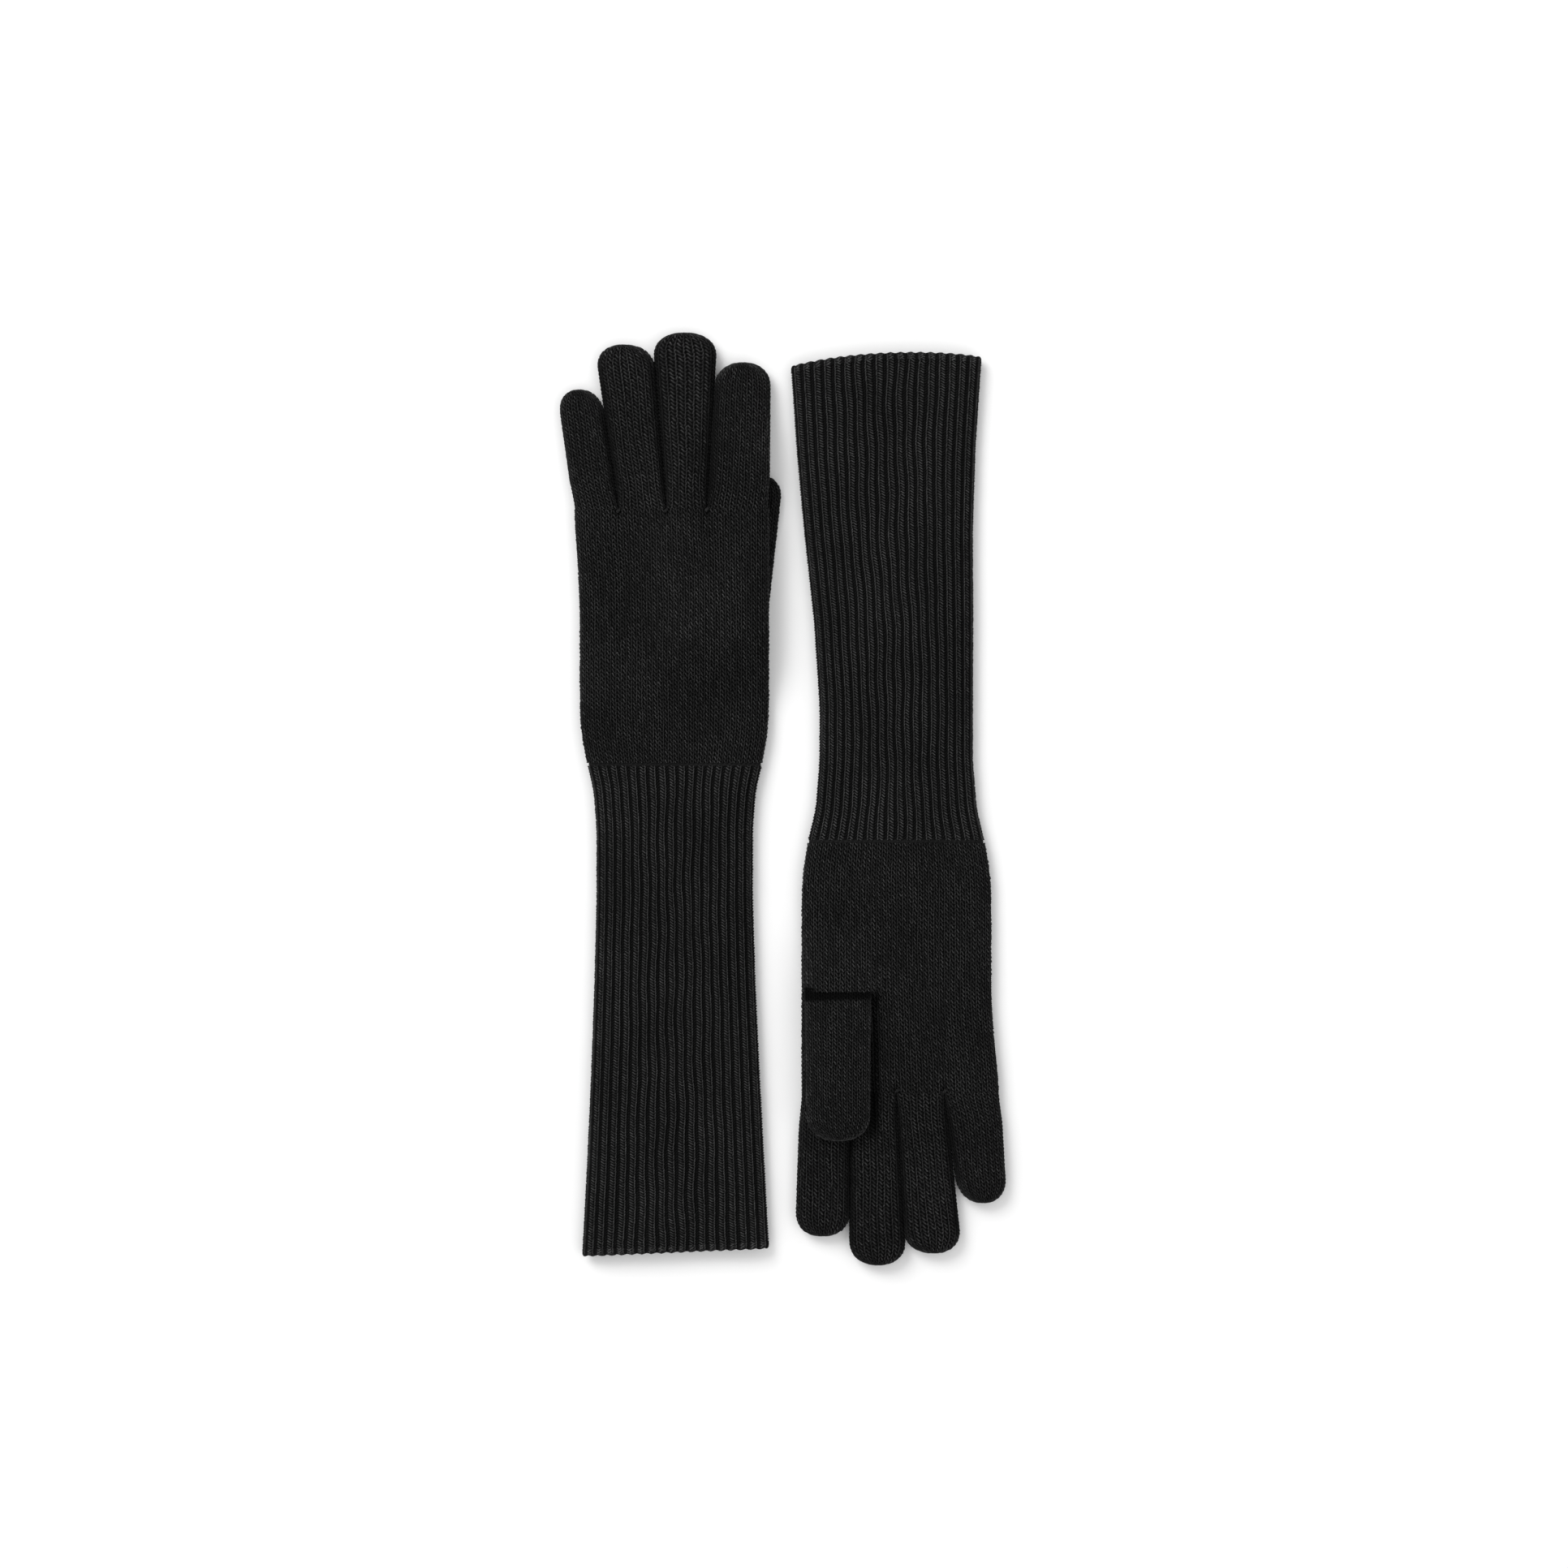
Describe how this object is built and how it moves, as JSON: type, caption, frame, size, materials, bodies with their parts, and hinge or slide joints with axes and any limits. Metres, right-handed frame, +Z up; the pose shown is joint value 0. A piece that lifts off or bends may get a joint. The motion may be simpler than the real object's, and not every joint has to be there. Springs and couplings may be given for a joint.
{
  "type": "opera gloves",
  "caption": "Pair of long black knitted gloves laid flat side by side, one back up, one palm up, each with a ribbed cuff up the forearm.",
  "frame": {"origin": "on the table under the middle of the pair's outline", "axes": "+Z up from the table; +Y along both gloves, towards the left glove's fingertips and the right glove's cuff opening; +X from the left glove to the right glove"},
  "size_m": [0.2086, 0.4446, 0.0175],
  "materials": {
    "plain_knit": "fine stockinette wool knit, soft and matt",
    "rib_knit": "one-by-one rib wool knit, soft and matt",
    "closing_yarn": "black wool yarn, linked and fastened"
  },
  "bodies": {
    "left_cuff": {"left_cuff": "rib_knit", "left_cuff_welt": "rib_knit", "left_wrist_seam": "closing_yarn"},
    "left_hand": {"left_hand": "plain_knit", "left_little_ring_crotch_stitch": "closing_yarn", "left_ring_middle_crotch_stitch": "closing_yarn", "left_middle_index_crotch_stitch": "closing_yarn"},
    "left_thumb": {"left_thumb": "plain_knit", "left_thumb_tip_knot": "closing_yarn"},
    "left_little_finger": {"left_little_finger": "plain_knit", "left_little_tip_knot": "closing_yarn"},
    "left_ring_finger": {"left_ring_finger": "plain_knit", "left_ring_tip_knot": "closing_yarn"},
    "left_middle_finger": {"left_middle_finger": "plain_knit", "left_middle_tip_knot": "closing_yarn"},
    "left_index_finger": {"left_index_finger": "plain_knit", "left_index_tip_knot": "closing_yarn"},
    "right_cuff": {"right_cuff": "rib_knit", "right_cuff_welt": "rib_knit", "right_wrist_seam": "closing_yarn"},
    "right_hand": {"right_hand": "plain_knit", "right_little_ring_crotch_stitch": "closing_yarn", "right_ring_middle_crotch_stitch": "closing_yarn", "right_middle_index_crotch_stitch": "closing_yarn", "right_middle_finger_root": "plain_knit", "right_index_finger_root": "plain_knit"},
    "right_thumb": {"right_thumb": "plain_knit", "right_thumb_tip_knot": "closing_yarn"},
    "right_little_finger": {"right_little_finger": "plain_knit", "right_little_tip_knot": "closing_yarn"},
    "right_ring_finger": {"right_ring_finger": "plain_knit", "right_ring_tip_knot": "closing_yarn"},
    "right_middle_finger": {"right_middle_finger": "plain_knit", "right_middle_tip_knot": "closing_yarn"},
    "right_index_finger": {"right_index_finger": "plain_knit", "right_index_tip_knot": "closing_yarn"}
  },
  "joints": [
    {"name": "right_glove_lift_off", "type": "slide", "parent": "left_cuff", "child": "right_cuff", "axis": [0, 0, 1], "range_m": [0, 0.25]},
    {"name": "left_wrist_fold", "type": "hinge", "parent": "left_cuff", "child": "left_hand", "pos_m": [-0.0515, 0.01745, 0.0096], "axis": [1, 0, 0], "range_deg": [0, 90]},
    {"name": "left_thumb_lift", "type": "hinge", "parent": "left_hand", "child": "left_thumb", "pos_m": [-0.0211, 0.08615, 0], "axis": [-1, 0, 0], "range_deg": [0, 90]},
    {"name": "left_little_fold", "type": "hinge", "parent": "left_hand", "child": "left_little_finger", "pos_m": [-0.0885, 0.1378, 0.0096], "axis": [1, 0, 0], "range_deg": [0, 90]},
    {"name": "left_ring_fold", "type": "hinge", "parent": "left_hand", "child": "left_ring_finger", "pos_m": [-0.0667, 0.1378, 0.0096], "axis": [1, 0, 0], "range_deg": [0, 90]},
    {"name": "left_middle_fold", "type": "hinge", "parent": "left_hand", "child": "left_middle_finger", "pos_m": [-0.0457, 0.1378, 0.0166], "axis": [1, 0, 0], "range_deg": [0, 90]},
    {"name": "left_index_fold", "type": "hinge", "parent": "left_hand", "child": "left_index_finger", "pos_m": [-0.0216, 0.1378, 0.0175], "axis": [1, 0, 0], "range_deg": [0, 90]},
    {"name": "right_wrist_fold", "type": "hinge", "parent": "right_cuff", "child": "right_hand", "pos_m": [0.0537, -0.02125, 0.0096], "axis": [-1, 0, 0], "range_deg": [0, 90]},
    {"name": "right_thumb_lift", "type": "hinge", "parent": "right_hand", "child": "right_thumb", "pos_m": [0.0258, -0.09005, 0.0175], "axis": [-1, 0, 0], "range_deg": [0, 90]},
    {"name": "right_little_fold", "type": "hinge", "parent": "right_hand", "child": "right_little_finger", "pos_m": [0.0896, -0.1398, 0.0096], "axis": [-1, 0, 0], "range_deg": [0, 90]},
    {"name": "right_ring_fold", "type": "hinge", "parent": "right_hand", "child": "right_ring_finger", "pos_m": [0.0652, -0.1398, 0.0096], "axis": [-1, 0, 0], "range_deg": [0, 90]},
    {"name": "right_middle_fold", "type": "hinge", "parent": "right_hand", "child": "right_middle_finger", "pos_m": [0.0437, -0.1644, 0.0096], "axis": [-1, 0, 0], "range_deg": [0, 90]},
    {"name": "right_index_fold", "type": "hinge", "parent": "right_hand", "child": "right_index_finger", "pos_m": [0.0197, -0.1644, 0.0096], "axis": [-1, 0, 0], "range_deg": [0, 90]}
  ]
}
